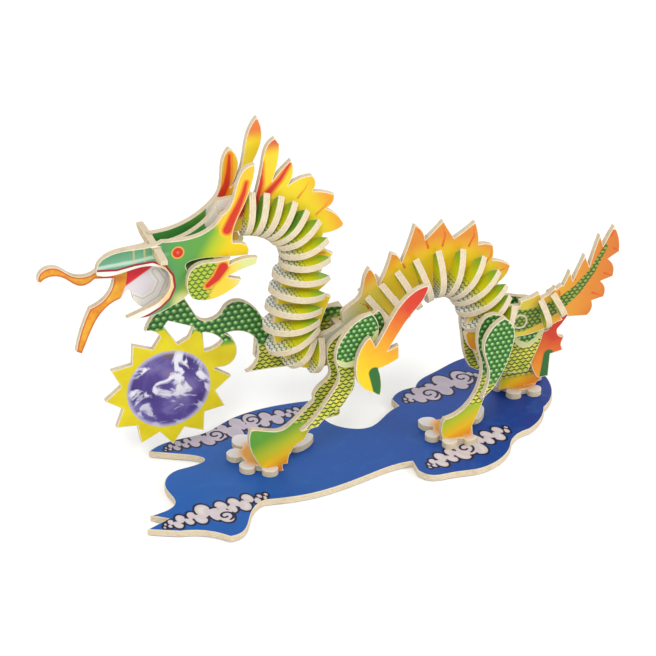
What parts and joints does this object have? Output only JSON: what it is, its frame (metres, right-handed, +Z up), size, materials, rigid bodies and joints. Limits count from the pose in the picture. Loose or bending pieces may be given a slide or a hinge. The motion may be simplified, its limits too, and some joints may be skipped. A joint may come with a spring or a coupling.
{
  "type": "slot-together wooden dragon puzzle",
  "caption": "Printed plywood dragon of flat plates slotted together: ribs across an arched spine, plate head, legs and a sun disc, standing on a cloud-shaped base plate.",
  "frame": {"origin": "underside of the base plate, in the middle plane of the spine, half way along the base", "axes": "+X from the snout to the tail, +Y away from the side whose foreleg stands on the base, +Z up"},
  "size_m": [0.2701, 0.1111, 0.1695],
  "materials": {
    "cloud_base_print": "printed paper face, satin, bare laser-cut edges",
    "crest_print": "printed paper face, satin, bare laser-cut edges",
    "rib_print": "printed paper face, satin, bare laser-cut edges",
    "bare_wood": "bare, sanded",
    "head_print": "printed paper face, satin, bare laser-cut edges",
    "sun_print": "printed paper face, satin, bare laser-cut edges",
    "flame_print": "printed paper face, satin, bare laser-cut edges",
    "claw_print": "printed paper face, satin, bare laser-cut edges",
    "leg_print": "printed paper face, satin, bare laser-cut edges"
  },
  "bodies": {
    "root": {"arm_cover": "leg_print", "back_spine": "crest_print", "base_plate": "cloud_base_print", "brow_bar": "bare_wood", "cheek_bar": "bare_wood", "chest_rib_01": "rib_print", "chest_rib_02": "rib_print", "far_cheek_frill": "head_print", "far_hindleg": "leg_print", "far_hindleg_cap": "leg_print", "far_hindleg_cover": "leg_print", "far_hindleg_flame": "flame_print", "far_hindpaw": "claw_print", "front_bar": "bare_wood", "head_centre": "head_print", "head_far_side": "head_print", "head_near_side": "head_print", "hump_rib_01": "rib_print", "hump_rib_02": "rib_print", "hump_rib_03": "rib_print", "hump_rib_04": "rib_print", "hump_rib_05": "rib_print", "hump_rib_06": "rib_print", "hump_rib_07": "rib_print", "hump_rib_08": "rib_print", "hump_rib_09": "rib_print", "hump_rib_10": "rib_print", "hump_rib_11": "rib_print", "near_cheek_frill": "head_print", "near_foreleg": "leg_print", "near_foreleg_cap": "leg_print", "near_foreleg_cover": "leg_print", "near_foreleg_flame": "flame_print", "near_forepaw": "claw_print", "near_hindleg": "leg_print", "near_hindleg_cover": "leg_print", "near_hindpaw": "claw_print", "neck_rib_01": "rib_print", "neck_rib_02": "rib_print", "neck_rib_03": "rib_print", "neck_rib_04": "rib_print", "neck_rib_05": "rib_print", "neck_rib_06": "rib_print", "neck_rib_07": "rib_print", "neck_rib_08": "rib_print", "neck_rib_09": "rib_print", "neck_rib_10": "rib_print", "neck_rib_11": "rib_print", "neck_rib_12": "rib_print", "neck_rib_13": "rib_print", "neck_spine": "crest_print", "rear_bar": "bare_wood", "sun_arm": "sun_print", "tail_rib_01": "rib_print", "tail_rib_02": "rib_print", "tail_spine": "crest_print"}
  },
  "joints": []
}
